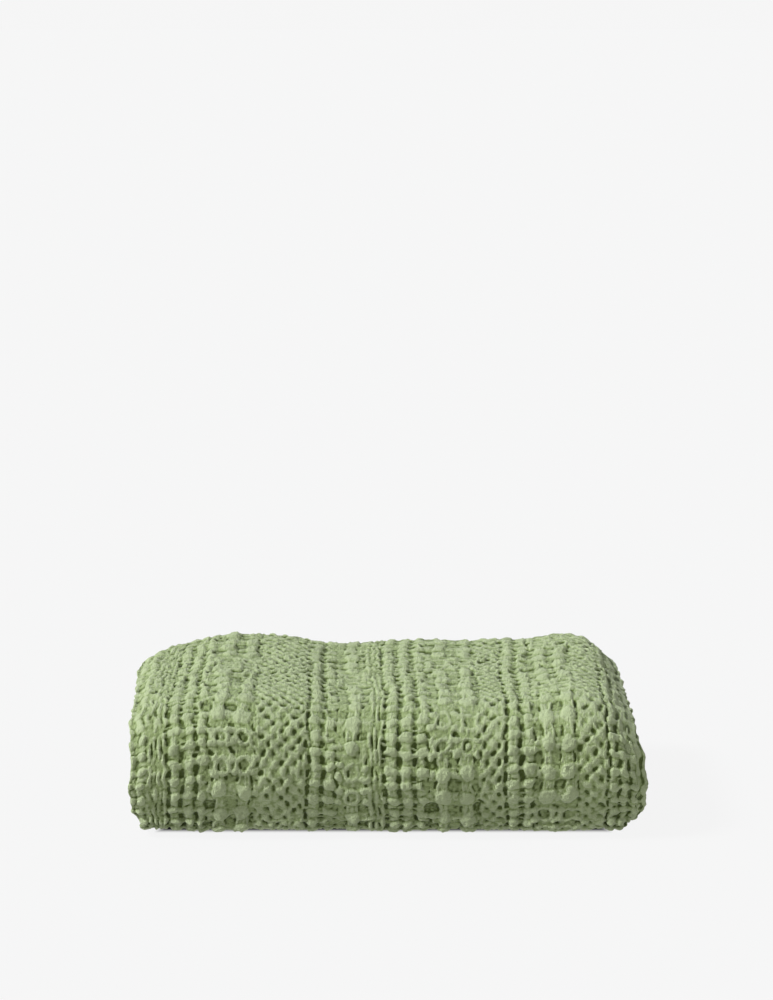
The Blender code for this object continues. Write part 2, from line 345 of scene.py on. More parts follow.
class WeaveMap:
    """Height map of the puffed weave, from 0 in the gaps to 1 on the pillows."""

    def __init__(self, seed):
        self.random = np.random.RandomState(seed)
        self.wide = int(2.0 * MAP_HALF_WIDTH / MAP_STEP)
        self.long = int(round(MAP_LENGTH / MAP_STEP))
        self.field = np.zeros((self.long, self.wide))
        draw = {"chain": self.chain, "puff": self.puff, "big": self.big,
                "lattice": self.lattice, "crinkle": self.crinkle}
        for kind, left, right, columns in BANDS:
            draw[kind](left / 1000.0, right / 1000.0, columns)
        self.crease_top()
        self.crumple()

    def window(self, cu, cv, reach):
        """Rows, columns and distances of the part of the map round a point."""
        left = max(0, int((cu - reach + MAP_HALF_WIDTH) / MAP_STEP))
        right = min(self.wide, int((cu + reach + MAP_HALF_WIDTH) / MAP_STEP) + 2)
        low = int((cv - reach) / MAP_STEP)
        high = int((cv + reach) / MAP_STEP) + 2
        us = np.arange(left, max(left, right)) * MAP_STEP - MAP_HALF_WIDTH - cu
        vs = np.arange(low, high) * MAP_STEP - cv
        du, dv = np.meshgrid(us, vs)
        return np.arange(low, high) % self.long, slice(left, max(left, right)), du, dv

    @staticmethod
    def turned(du, dv, turn):
        """Distances along axes that are turned by an angle."""
        return (du * math.cos(turn) + dv * math.sin(turn),
                dv * math.cos(turn) - du * math.sin(turn))

    def outline(self, cu, cv, a, b, turn, square, reach):
        """Rows and columns round a point, and how far inside a squarish oval they lie."""
        rows, columns, du, dv = self.window(cu, cv, max(a, b) * reach)
        du, dv = self.turned(du, dv, turn)
        inside = 1.0 - np.abs(du / a) ** square - np.abs(dv / b) ** square
        return rows, columns, np.clip(inside, 0.0, 1.0)

    def stamp(self, cu, cv, a, b, height, square=2.8, turn=0.0, power=0.42):
        """Raise one pillow of half sizes a and b round a point of the cloth."""
        rows, columns, inside = self.outline(cu, cv, a, b, turn, square, 1.05)
        dome = height * inside ** power
        self.field[rows, columns] = np.maximum(self.field[rows, columns], dome)

    def dent(self, cu, cv, a, b, bottom, turn=0.0, square=2.8, power=0.42):
        """Sink one gap of half sizes a and b down to the given level."""
        rows, columns, inside = self.outline(cu, cv, a, b, turn, square, 1.3)
        patch = self.field[rows, columns]
        self.field[rows, columns] = patch + (bottom - patch) * inside ** power

    def fill(self, left, right, level):
        """Lift the whole band to a level."""
        low = max(0, int((left + MAP_HALF_WIDTH) / MAP_STEP))
        high = min(self.wide, int((right + MAP_HALF_WIDTH) / MAP_STEP))
        self.field[:, low:high] = np.maximum(self.field[:, low:high], level)

    def cloud(self, cell, cell_along=None):
        """Soft random field from -1 to 1 with lumps of the given size."""
        tall = int(round(MAP_LENGTH / (cell_along or cell)))
        broad = int(2.0 * MAP_HALF_WIDTH / cell) + 3
        lumps = self.random.uniform(-1.0, 1.0, (tall, broad))
        v = np.arange(self.long) * tall / self.long
        u = np.arange(self.wide) * MAP_STEP / cell
        r0 = v.astype(int) % tall
        c0 = u.astype(int)
        fr = eased(v - np.floor(v))[:, None]
        fc = eased(u - np.floor(u))[None, :]
        r1 = (r0 + 1) % tall
        low = lumps[np.ix_(r0, c0)] * (1.0 - fc) + lumps[np.ix_(r0, c0 + 1)] * fc
        high = lumps[np.ix_(r1, c0)] * (1.0 - fc) + lumps[np.ix_(r1, c0 + 1)] * fc
        return low * (1.0 - fr) + high * fr

    def crease_top(self):
        """Press short creases across the cloth where it lies on top of the stack."""
        for _ in range(TOP_CREASES):
            self.dent(self.spread(MAP_HALF_WIDTH), self.between(TOP_FROM, TOP_TO),
                      self.between(0.0022, 0.0060), self.between(0.0014, 0.0028),
                      self.between(0.0, 0.45), turn=self.spread(0.4), square=2.3, power=0.6)

    def crumple(self):
        """Let the yarns wander and the puffs crease, so that no two are alike, and paint shade
        into the gaps and creases.
        """
        floor = np.clip(0.04 + 0.30 * self.cloud(0.011), 0.0, 0.36)
        self.field = np.maximum(self.field, floor)
        columns = np.arange(self.wide)[None, :]
        rows = np.arange(self.long)[:, None]
        shift_u = 0.0034 * self.cloud(0.075) + 0.0014 * self.cloud(0.021)
        shift_u += 0.0009 * self.cloud(0.0075) + 0.0006 * self.cloud(0.0036)
        shift_v = 0.0040 * self.cloud(0.070) + 0.0016 * self.cloud(0.019)
        shift_v += 0.0009 * self.cloud(0.0075) + 0.0006 * self.cloud(0.0036)
        self.field = self.sample(self.field, columns + shift_u / MAP_STEP,
                                 rows + shift_v / MAP_STEP)
        puckers = 0.5 * self.cloud(0.0040) + 0.5 * self.cloud(0.0023)
        pleats = self.cloud(0.0024, 0.0110) + 0.6 * self.cloud(0.0034, 0.0200)
        creases = np.clip(1.0 - 5.0 * np.abs(self.cloud(0.0085)), 0.0, 1.0)
        creases += np.clip(1.0 - 4.0 * np.abs(self.cloud(0.0060)), 0.0, 1.0)
        self.field *= 0.97 + 0.08 * self.cloud(0.030) + 0.10 * puckers + 0.08 * pleats
        self.field -= 0.08 * creases * np.clip(self.field, 0.0, 1.0)
        self.field += 0.05 * puckers + 0.06 * self.cloud(0.0016)
        # Painted shade: the height, sharpened at two sizes, darkens the cotton's colour in the
        # gaps and creases.
        near = self.field - self.blurred(self.field, 2)
        wide = self.field - self.blurred(self.field, 5)
        self.shade = self.field + 1.6 * near + 1.1 * wide

    @staticmethod
    def blurred(field, reach):
        """The field evened out over a small square."""
        for axis in (0, 1):
            total = np.zeros_like(field)
            for step in range(-reach, reach + 1):
                total += np.roll(field, step, axis=axis)
            field = total / (2 * reach + 1)
        return field

    def spread(self, amount):
        """A small uneven step."""
        return self.random.uniform(-amount, amount)

    def rows(self, pitch):
        """Middle lines of the rows, evened out so that they close over the repeat."""
        count = 2 * int(round(MAP_LENGTH / pitch / 2.0))
        return [(row, (row + 0.5) * MAP_LENGTH / count) for row in range(count)]

    def between(self, low, high):
        """An uneven value between two limits."""
        return self.random.uniform(low, high)

    def puff(self, left, right, columns):
        """Broad soft pillows with shallow gaps."""
        self.chain(left, right, columns, (0.42, 0.66))

    def chain(self, left, right, columns, gap=(-0.05, 0.20)):
        """Ladders of pillows on pleated necks, with a squarish gap at every corner."""
        pitch = (right - left) / columns
        self.fill(left, right, 0.42)
        for column in range(columns):
            middle = left + (column + 0.5) * pitch
            for _, at in self.rows(ROW_PITCH):
                cu = middle + self.spread(0.0008)
                cv = at + self.spread(0.0011)
                self.stamp(cu, cv, 0.41 * pitch * self.between(0.88, 1.12),
                           0.31 * ROW_PITCH * self.between(0.84, 1.18), self.between(0.92, 1.10),
                           square=3.0, turn=self.spread(0.30), power=0.34)
                self.stamp(cu + self.spread(0.0008), cv + ROW_PITCH / 2.0,
                           self.between(0.30, 0.37) * pitch, 0.46 * ROW_PITCH,
                           self.between(0.56, 0.76), square=2.8, power=0.36)
                self.stamp(cu + 0.5 * pitch, cv, 0.26 * pitch, 0.20 * ROW_PITCH,
                           self.between(0.52, 0.70), square=2.6, power=0.36)
                if self.between(0.0, 1.0) < 0.55:
                    self.dent(cu + self.spread(0.0010), cv + 0.34 * ROW_PITCH, 0.34 * pitch,
                              0.0009, self.between(0.30, 0.60), turn=self.spread(0.3),
                              square=2.2, power=0.5)
        for column in range(columns + 1):
            middle = left + column * pitch
            for _, at in self.rows(ROW_PITCH):
                cu = middle + self.spread(0.0009)
                cv = at + ROW_PITCH / 2.0 + self.spread(0.0013)
                self.dent(cu, cv, self.between(0.13, 0.18) * pitch,
                          self.between(0.24, 0.33) * ROW_PITCH, self.between(*gap),
                          turn=self.spread(0.20), square=3.6, power=0.40)
                if self.between(0.0, 1.0) < 0.3:
                    self.stamp(cu, cv + self.spread(0.0012), 0.26 * pitch, 0.0009,
                               self.between(0.45, 0.70), turn=self.spread(0.3))

    def big(self, left, right, columns):
        """Groups of large flat pillows on pleated necks, parted by groups of round cells."""
        pitch = (right - left) / columns
        step = ROW_PITCH * 1.56
        first = int(self.random.randint(0, 7))
        self.fill(left, right, 0.54)
        for column in range(columns):
            middle = left + (column + 0.5) * pitch
            for row, at in self.rows(step):
                cu = middle + self.spread(0.0012)
                cv = at + self.spread(0.0014)
                if (row + first) % 7 < 5:
                    self.large_pillow(cu, cv, step, pitch)
                else:
                    self.round_cell(cu, cv, step, pitch)

    def large_pillow(self, cu, cv, step, pitch):
        """One large pillow, the pleated neck below it and the sunk cells beside the neck."""
        size = self.between(0.86, 1.08)
        for side in (-1.0, 1.0):
            self.dent(cu + side * 0.5 * pitch, cv + 0.5 * step, 0.5 * pitch - 0.0042,
                      0.0052 * self.between(0.8, 1.1), self.between(0.22, 0.46),
                      turn=self.spread(0.15), square=3.6, power=0.24)
            self.dent(cu + side * 0.0056, cv + 0.5 * step + self.spread(0.0012),
                      self.between(0.0008, 0.0015), self.between(0.0022, 0.0050),
                      self.between(-0.05, 0.40), turn=self.spread(0.30))
            self.dent(cu + side * (0.0072 * size + 0.0006), cv + self.spread(0.003), 0.0009,
                      self.between(0.0020, 0.0045), self.between(0.20, 0.55),
                      turn=self.spread(0.5))
        self.stamp(cu, cv, 0.0073 * size * self.between(0.9, 1.1),
                   0.0066 * size * self.between(0.9, 1.1), self.between(1.02, 1.16), square=2.6,
                   turn=self.spread(0.6), power=0.30)
        self.stamp(cu + self.spread(0.0016), cv + self.spread(0.003), 0.0054 * size,
                   0.0078 * size, self.between(0.88, 1.06), square=2.3, turn=self.spread(0.4),
                   power=0.36)
        for side in (-1.0, 1.0):
            self.stamp(cu + side * 0.5 * pitch, cv + self.spread(0.0015), 0.30 * pitch,
                       0.0030, self.between(0.58, 0.78), square=2.4, turn=self.spread(0.3),
                       power=0.38)
        for strand in (-1.5, -0.5, 0.5, 1.5):
            self.stamp(cu + strand * 0.0023 + self.spread(0.0005), cv + step / 2.0,
                       0.0013, 0.0078 * self.between(0.8, 1.1), self.between(0.60, 0.84),
                       square=2.2, turn=self.spread(0.12))

    def round_cell(self, cu, cv, step, pitch):
        """A flat sunk cell with a steep round edge, knots beside it and gaps at the knots."""
        self.ring(cu, cv, 0.0062 * self.between(0.85, 1.15), 0.0060 * self.between(0.85, 1.15),
                  0.0024, self.between(0.68, 0.88), self.spread(0.5))
        for side in (-1.0, 1.0):
            for half in (-0.25, 0.25):
                self.stamp(cu + side * 0.42 * pitch + self.spread(0.001),
                           cv + half * step + self.spread(0.001),
                           0.0042 * self.between(0.8, 1.2), 0.0036 * self.between(0.8, 1.2),
                           self.between(0.84, 1.04), square=2.6, turn=self.spread(0.6),
                           power=0.42)
            self.dent(cu + side * 0.5 * pitch, cv + 0.5 * step + self.spread(0.001), 0.0018,
                      0.0032, self.between(0.0, 0.4), turn=-side * 0.6)
        self.dent(cu, cv, 0.0048 * self.between(0.8, 1.1), 0.0047 * self.between(0.8, 1.1),
                  self.between(0.36, 0.56), turn=self.spread(0.6), square=2.5, power=0.32)
        if self.between(0.0, 1.0) < 0.15:
            self.stamp(cu + self.spread(0.001), cv + self.spread(0.001), 0.0024, 0.0022,
                       self.between(0.60, 0.78), square=2.4, power=0.3)
        self.dent(cu - 0.0030, cv - 0.0010, 0.0010, 0.0030, self.between(0.1, 0.3), turn=0.3)

    def ring(self, cu, cv, a, b, thick, height, turn):
        """Raise a padded ring of half sizes a and b round a point of the cloth."""
        rows, columns, du, dv = self.window(cu, cv, max(a, b) + thick)
        du, dv = self.turned(du, dv, turn)
        away = (np.hypot(du / a, dv / b) - 1.0) * 0.5 * (a + b)
        dome = height * np.clip(1.0 - np.abs(away / thick) ** 2.4, 0.0, 1.0) ** 0.38
        self.field[rows, columns] = np.maximum(self.field[rows, columns], dome)

    def lattice(self, left, right, columns):
        """Close cells in staggered rows, whose gaps lean one way and then the other."""
        pitch = (right - left) / columns
        step = ROW_PITCH * 0.51
        self.fill(left, right, 0.64)
        for row, at in self.rows(step):
            lean = 1.0 if (row // 10) % 2 == 0 else -1.0
            for column in range(-1, columns + 1):
                cu = left + (column + 0.5 + 0.5 * (row % 2)) * pitch + self.spread(0.0010)
                if not left - 0.003 < cu < right + 0.003:
                    continue
                size = self.between(0.82, 1.15)
                self.stamp(cu + 0.5 * pitch, at + self.spread(0.0009), 0.36 * pitch * size,
                           0.0038 * size, self.between(0.76, 0.96), square=2.4,
                           turn=-lean * self.between(-0.3, 0.6), power=0.42)
        for row, at in self.rows(step):
            lean = 1.0 if (row // 10) % 2 == 0 else -1.0
            for column in range(-1, columns + 1):
                cu = left + (column + 0.5 + 0.5 * (row % 2)) * pitch + self.spread(0.0008)
                if left - 0.002 < cu < right + 0.002:
                    size = self.between(0.85, 1.15)
                    self.dent(cu, at + self.spread(0.0008), 0.0024 * size, 0.0033 * size,
                              self.between(0.18, 0.54), turn=-lean * self.between(0.1, 0.8),
                              square=2.2, power=0.70)

    def crinkle(self, left, right, columns):
        """Fine pleats that run along the cloth."""
        pitch = (right - left) / columns
        self.fill(left, right, 0.46)
        for column in range(columns):
            middle = left + (column + 0.5) * pitch
            for _, at in self.rows(ROW_PITCH * 1.2):
                self.stamp(middle + self.spread(0.0012), at + self.spread(0.004),
                           0.50 * pitch, 0.0105 * self.between(0.7, 1.25),
                           self.between(0.60, 0.92), square=2.0, turn=self.spread(0.12))
            for _, at in self.rows(ROW_PITCH * 2.0):
                self.dent(middle + 0.5 * pitch + self.spread(0.001), at + self.spread(0.005),
                          0.0011, 0.0050, self.between(0.0, 0.4), turn=self.spread(0.2))

    def sample(self, field, col, row):
        """Read a field between its points, repeating it along the cloth."""
        col = np.clip(col, 0.0, self.wide - 1.001)
        low = np.floor(row)
        fr = row - low
        r0 = low.astype(int) % self.long
        r1 = (r0 + 1) % self.long
        c0 = col.astype(int)
        fc = col - c0
        top = field[r0, c0] * (1.0 - fc) + field[r0, c0 + 1] * fc
        bottom = field[r1, c0] * (1.0 - fc) + field[r1, c0 + 1] * fc
        return top * (1.0 - fr) + bottom * fr

    def read(self, across, along_cloth):
        """Height, and the painted shade of gaps and creases, at points of the cloth."""
        column = (across + MAP_HALF_WIDTH) / MAP_STEP
        row = along_cloth / MAP_STEP
        return self.sample(self.field, column, row), self.sample(self.shade, column, row)


def end_rings():
    """Extra reach and share of the thickness of the rings that round off an end."""
    angles = np.radians((0.0, 22.0, 44.0, 64.0, 80.0, 88.0))
    return [(math.sin(angle), max(0.06, math.cos(angle))) for angle in angles]


def make_stations(spacing_list):
    """Stations along X: share of the half length, extra reach and share of the thickness."""
    left = [(-1.0, -reach, share) for reach, share in reversed(end_rings()[1:])]
    right = [(1.0, reach, share) for reach, share in end_rings()[1:]]
    body = [(value, 0.0, 1.0) for value in spacing_list]
    return np.array(left + body + right)


def zip_lines(first, first_keys, second, second_keys):
    """Faces that join two lines of vertices whose keys may be spaced differently."""
    if len(first) == len(second) and np.allclose(first_keys, second_keys):
        return np.stack((first[:-1], first[1:], second[1:], second[:-1]), axis=1).tolist()
    faces = []
    i = 0
    j = 0
    last_i = len(first) - 1
    last_j = len(second) - 1
    while i < last_i or j < last_j:
        if i < last_i and j < last_j and abs(first_keys[i + 1] - second_keys[j + 1]) < 1e-9:
            face = [first[i], first[i + 1], second[j + 1], second[j]]
            i += 1
            j += 1
        elif j == last_j or (i < last_i and first_keys[i + 1] < second_keys[j + 1]):
            face = [first[i], first[i + 1], second[j]]
            i += 1
        else:
            face = [first[i], second[j + 1], second[j]]
            j += 1
        unique = list(dict.fromkeys(int(value) for value in face))
        if len(unique) > 2:
            faces.append(unique)
    return faces


class Ply:
    """A closed sheet made of rows round its thickness, each with its own choice of stations."""

    def __init__(self, name, stations, weave):
        self.name = name
        self.stations = stations
        self.weave = weave
        self.rows = []

    def add_row(self, along_cloth, side, chosen, thin=1.0, beyond=0.0, flat=False):
        """One row of the sheet on one of its faces; beyond runs past a hem."""
        self.rows.append((along_cloth, side, np.asarray(chosen), thin, beyond, float(flat)))

    def spread_out(self):
        """All vertices as flat arrays, with the first vertex of every row."""
        counts = [len(row[2]) for row in self.rows]
        starts = np.concatenate(([0], np.cumsum(counts)))
        values = [np.repeat([row[i] for row in self.rows], counts) for i in (0, 1, 3, 4, 5)]
        chosen = self.stations[np.concatenate([row[2] for row in self.rows])]
        return (starts, *values, chosen)

    def surface(self, lengths, sides, thin, flat, chosen):
        """Points of the sheet, and the painted shade of each: dark in the gaps and creases, pale
        on the pillows.
        """
        along, extra, share = chosen[:, 0], chosen[:, 1], chosen[:, 2]
        reach = lay(lengths, along, 0.0 * along, 0.0 * along)[:, 0] - along * HALF_LENGTH
        across = along * HALF_LENGTH + extra * 0.5 * PLY_THICKNESS + END_SHARE * reach
        shifted = np.where(sides > 0.0, lengths, lengths + FACE_SHIFT)
        relief, shade = self.weave.read(across, shifted)
        outer = (sides > 0.0) & (lengths < PATH.start_of(1) + 0.002)
        depth = np.where(outer, settings().puff_depth, settings().inner_puff_depth)
        near_back = np.clip((lengths - TOP_TO + FLATTER_BEFORE) / FLATTER_OVER, 0.0, 1.0)
        depth = depth * (1.0 - FLATTER_BY * near_back)
        sunk = (1.0 - np.maximum(relief, 0.0)) * depth * (1.0 - 0.85 * flat)
        swell = 0.0009 * ripple(across / 0.071, lengths / 0.083, 1.9)
        offset = sides * thin * share * (0.5 * PLY_THICKNESS - sunk)
        offset = offset + np.where(flat > 0.5, 0.0, swell) * share
        edge = END_ROUND * (0.45 + 0.75 * np.clip(relief, 0.0, 1.0))
        wander = 0.0013 * ripple(lengths / 0.047, lengths / 0.031, 0.7) * along ** 9
        points = lay(lengths, along, extra * edge + wander, offset)
        return points, np.where(flat > 0.5, 0.8, shade)

    def build(self, shift, seam_stations=()):
        """Make the object."""
        starts, lengths, sides, thin, beyond, flat, chosen = self.spread_out()
        points, relief = self.surface(lengths, sides, thin, flat, chosen)
        points = points + self.past_hem(lengths, beyond, chosen) + shift
        faces = []
        total = len(self.rows)
        for index in range(total):
            after = (index + 1) % total
            ids = np.arange(starts[index], starts[index + 1])
            next_ids = np.arange(starts[after], starts[after + 1])
            faces.extend(zip_lines(ids, self.rows[index][2], next_ids, self.rows[after][2]))
        faces.extend(self.cap(starts, at_end=False))
        faces.extend(self.cap(starts, at_end=True))
        mesh = bpy.data.meshes.new(self.name)
        mesh.from_pydata(points.tolist(), [], faces)
        mesh.update()
        self.face_outward(mesh)
        mesh.polygons.foreach_set("use_smooth", np.ones(len(mesh.polygons), dtype=bool))
        # The "relief" attribute carries painted shade: the sharpened height that darkens the
        # colour in the gaps and creases.
        painted_shade_attribute = mesh.attributes.new("relief", "FLOAT", "POINT")
        painted_shade_attribute.data.foreach_set("value", relief.astype(np.float32))
        self.write_uv(mesh, chosen, lengths)
        for station in seam_stations:
            self.match_seam(mesh, starts, station, shift)
        item = bpy.data.objects.new(self.name, mesh)
        bpy.context.scene.collection.objects.link(item)
        return item

    @staticmethod
    def past_hem(lengths, beyond, chosen):
        """How far each point lies past the hem, in the direction in which the cloth ends."""
        none = 0.0 * lengths
        ahead, back = (lay(np.clip(at, 0.0, PATH.total), chosen[:, 0], none, none)
                       for at in (lengths, lengths - 0.0005 * np.sign(beyond)))
        heading = ahead - back
        size = np.linalg.norm(heading, axis=1, keepdims=True)
        return heading / np.maximum(size, 1e-9) * np.abs(beyond)[:, None]

    def cap(self, starts, at_end):
        """Close the sheet at its first or last station, from face to face."""
        upper = []
        lower = []
        for index, row in enumerate(self.rows):
            vertex = starts[index + 1] - 1 if at_end else starts[index]
            key = row[0] + row[4]
            if row[1] >= 0.0:
                upper.append((key, vertex))
            if row[1] <= 0.0:
                lower.append((key, vertex))
        upper.sort()
        lower.sort()
        return zip_lines(np.array([v for _, v in upper]), np.array([k for k, _ in upper]),
                         np.array([v for _, v in lower]), np.array([k for k, _ in lower]))

    @staticmethod
    def face_outward(mesh):
        """Turn every face outward."""
        work = bmesh.new()
        work.from_mesh(mesh)
        bmesh.ops.recalc_face_normals(work, faces=work.faces[:])
        work.to_mesh(mesh)
        work.free()

    @staticmethod
    def write_uv(mesh, chosen, lengths):
        """Lay the cloth's own sizes in metres into its UV map."""
        layer = mesh.uv_layers.new(name="weave")
        corner = np.empty(len(mesh.loops), dtype=np.int32)
        mesh.loops.foreach_get("vertex_index", corner)
        u = chosen[:, 0] * HALF_LENGTH + chosen[:, 1] * 0.003
        flat = np.stack((u[corner], lengths[corner]), axis=1).astype(np.float32)
        layer.data.foreach_set("uv", flat.ravel())

    def match_seam(self, mesh, starts, station, shift):
        """Give both sides of the parting line the same normals, so that it can't be seen."""
        normals = np.zeros((len(mesh.vertices), 3))
        rows = [i for i, row in enumerate(self.rows) if row[1] > 0.0 and station in row[2]]
        lengths = np.array([self.rows[i][0] for i in rows])
        at = np.tile(self.stations[station], (len(rows), 1))
        ones = np.ones(len(rows))
        flat = np.array([self.rows[i][5] for i in rows])
        small = 0.0006

        def point(step_length, step_across):
            moved = at.copy()
            moved[:, 0] += step_across / HALF_LENGTH
            return self.surface(lengths + step_length, ones, ones, flat, moved)[0]

        along = point(small, 0.0) - point(-small, 0.0)
        across = point(0.0, small) - point(0.0, -small)
        normal = np.cross(along, across)
        normal /= np.linalg.norm(normal, axis=1, keepdims=True)
        out = np.stack([np.zeros(len(rows)), *PATH.at(lengths)[2:4]], axis=1)
        normal *= np.sign((normal * out).sum(axis=1))[:, None]
        for order, index in enumerate(rows):
            place = int(np.nonzero(self.rows[index][2] == station)[0][0])
            normals[starts[index] + place] = normal[order]
        mesh.normals_split_custom_set_from_vertices(normals.tolist())


def spaced(low, high, step):
    """Values from low to high, about a step apart."""
    return np.linspace(low, high, max(2, int(round((high - low) / step)) + 1))


def hem_rows(ply, at, chosen, direction):
    """Round off a hem that ends the strip."""
    ply.add_row(at, 0.0, chosen, thin=0.0, beyond=direction * HEM_ROUND)


def set_inputs(node, values):
    """Set plain inputs of a node by name."""
    for name, value in values.items():
        node.inputs[name].default_value = value


def map_range(tree, source, old, new, smooth=False):
    """Carry a value from one range, given as its two ends, to another."""
    node = tree.nodes.new("ShaderNodeMapRange")
    node.interpolation_type = "SMOOTHSTEP" if smooth else "LINEAR"
    set_inputs(node, dict(zip(("From Min", "From Max", "To Min", "To Max"), (*old, *new))))
    tree.links.new(source, node.inputs["Value"])
    return node.outputs["Result"]


def combine(tree, operation, *values):
    """Join sockets and plain numbers by one operation."""
    node = tree.nodes.new("ShaderNodeMath")
    node.operation = operation
    for socket, value in zip(node.inputs, values):
        if isinstance(value, float):
            socket.default_value = value
        else:
            tree.links.new(value, socket)
    return node.outputs["Value"]


def noise(tree, coords, scale, detail, roughness=0.5):
    """Even noise on the cloth's own measures."""
    node = tree.nodes.new("ShaderNodeTexNoise")
    set_inputs(node, {"Scale": scale, "Detail": detail, "Roughness": roughness})
    tree.links.new(coords, node.inputs["Vector"])
    return node.outputs["Fac"]


def cotton_colour_with_painted_shade(tree, coords, chosen):
    """Pale cotton on the pillows, with painted shade that darkens it on the necks and more in the
    gaps, and a faint mottle.
    """
    # Painted shade: the "relief" attribute holds the sharpened height, and the ramp darkens the
    # cotton from the pillow colour through the necks to the gaps.
    relief = tree.nodes.new("ShaderNodeAttribute")
    relief.attribute_name = "relief"
    painted_shade_ramp = tree.nodes.new("ShaderNodeValToRGB")
    painted_shade_ramp.color_ramp.interpolation = "EASE"
    gap, pillow = painted_shade_ramp.color_ramp.elements
    gap.position = 0.02
    gap.color = (*chosen.gap_painted_shade, 1.0)
    pillow.position = 0.78
    pillow.color = (*chosen.pillow_colour, 1.0)
    painted_neck_shade = painted_shade_ramp.color_ramp.elements.new(0.42)
    painted_neck_shade.color = (*chosen.neck_colour_painted_shade, 1.0)
    tree.links.new(relief.outputs["Fac"], painted_shade_ramp.inputs["Fac"])
    shade = map_range(tree, noise(tree, coords, 55.0, 3.0), (0.3, 0.7), (0.93, 1.06))
    tint = tree.nodes.new("ShaderNodeVectorMath")
    tint.operation = "SCALE"
    tree.links.new(painted_shade_ramp.outputs["Color"], tint.inputs[0])
    tree.links.new(shade, tint.inputs["Scale"])
    return tint.outputs["Vector"]


def yarn_bump(tree, coords):
    """Fluff and fine yarns across the cloth."""
    yarns = tree.nodes.new("ShaderNodeTexWave")
    yarns.bands_direction = "X"
    set_inputs(yarns, {"Scale": 260.0, "Distortion": 5.0, "Detail": 1.0, "Detail Scale": 1.6})
    tree.links.new(coords, yarns.inputs["Vector"])
    fluff = map_range(tree, noise(tree, coords, 430.0, 4.0, 0.62), (0.34, 0.66), (0.0, 1.0))
    bump = tree.nodes.new("ShaderNodeBump")
    set_inputs(bump, {"Strength": 1.0, "Distance": 0.0010})
    height = combine(tree, "MULTIPLY_ADD", yarns.outputs["Fac"], 0.30, fluff)
    tree.links.new(height, bump.inputs["Height"])
    return bump.outputs["Normal"]


def cloth_material():
    """Matte cotton, shared by all plies."""
    name = "throw_cotton_weave"
    if name in bpy.data.materials:
        return bpy.data.materials[name]
    material = bpy.data.materials.new(name)
    material.use_nodes = True
    tree = material.node_tree
    shader = tree.nodes["Principled BSDF"]
    set_inputs(shader, {"Roughness": 0.93, "Specular IOR Level": 0.15, "Sheen Weight": 0.21,
                        "Sheen Roughness": 0.42, "Sheen Tint": (0.94, 0.97, 0.92, 1.0)})
    uv = tree.nodes.new("ShaderNodeUVMap")
    uv.uv_map = "weave"
    coords = uv.outputs["UV"]
    tree.links.new(cotton_colour_with_painted_shade(tree, coords, settings()), shader.inputs["Base Color"])
    tree.links.new(yarn_bump(tree, coords), shader.inputs["Normal"])
    return material


def declare(item):
    """Give the sheet its cotton finish, hang it on the root body and hide the solid part."""
    item.data.materials.append(cloth_material())
    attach(item, "root")
    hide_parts(NODE)


def length_setting(name, description, default, low, high):
    """A length that a user may change."""
    return FloatProperty(name=name, description=description, default=default, min=low, max=high,
                         subtype="DISTANCE", unit="LENGTH")


def colour_setting(name, description, default):
    """A colour that a user may change."""
    return FloatVectorProperty(name=name, description=description, default=default, min=0.0,
                               max=1.0, subtype="COLOR")


class ThrowCloth(bpy.types.PropertyGroup):
    """Sizes and colours of the cloth, with the painted shade of its necks and gaps."""

    puff_depth: length_setting(
        "Puff depth", "Height of the pillows over the gaps on the outer face", 0.0047, 0.0, 0.005)
    inner_puff_depth: length_setting(
        "Inner puff depth", "Height of the pillows where plies face each other",
        0.0018, 0.0, 0.003)
    fineness: length_setting(
        "Fineness", "Spacing of the points on the outer ply", 0.0010, 0.0008, 0.004)
    weave_seed: IntProperty(
        name="Weave seed", description="Chooses the unevenness of the pillows",
        default=11, min=0)
    pillow_colour: colour_setting(
        "Pillow colour", "Cotton on top of the pillows", (0.324, 0.380, 0.212))
    # The cotton's colour with painted shade, darker on the necks than on the pillows.
    neck_colour_painted_shade: colour_setting(
        "Neck colour", "Cotton on the necks and ribs", (0.229, 0.288, 0.121))
    # Painted shade: the cotton's colour darkened deep in the gaps, where shade falls.
    gap_painted_shade: colour_setting(
        "Gap colour", "Cotton deep in the gaps", (0.064, 0.092, 0.017))


class ThrowStage(bpy.types.PropertyGroup):
    """Floor, light and camera."""

    surround: FloatProperty(
        name="Surround", description="Brightness of the plain studio surround",
        default=0.918, min=0.0, max=2.0)
    ceiling: FloatProperty(
        name="Ceiling", description="Brightness of the studio overhead, beside the key light",
        default=0.46, min=0.0, max=2.0)
    floor_grey: FloatProperty(
        name="Floor", description="Lightness of the plain floor",
        default=0.02, min=0.0, max=1.0, subtype="FACTOR")
    floor_glow: FloatProperty(
        name="Floor glow", description="Brightness that the lit floor has by itself",
        default=0.888, min=0.0, max=2.0)
    key_strength: FloatProperty(
        name="Key light", description="Strength of the broad light from the upper left",
        default=5.15, min=0.0, max=20.0)
    distance: FloatProperty(
        name="Camera distance", description="From the camera to the middle of the throw",
        default=2.24, min=0.5, max=10.0, subtype="DISTANCE", unit="LENGTH")
    aside: FloatProperty(
        name="Camera aside", description="How far to the right of the middle it stands",
        default=0.0026, subtype="DISTANCE", unit="LENGTH")
    elevation: FloatProperty(
        name="Camera elevation", description="How far the camera looks down on the throw",
        default=math.radians(17.2), subtype="ANGLE", unit="ROTATION")


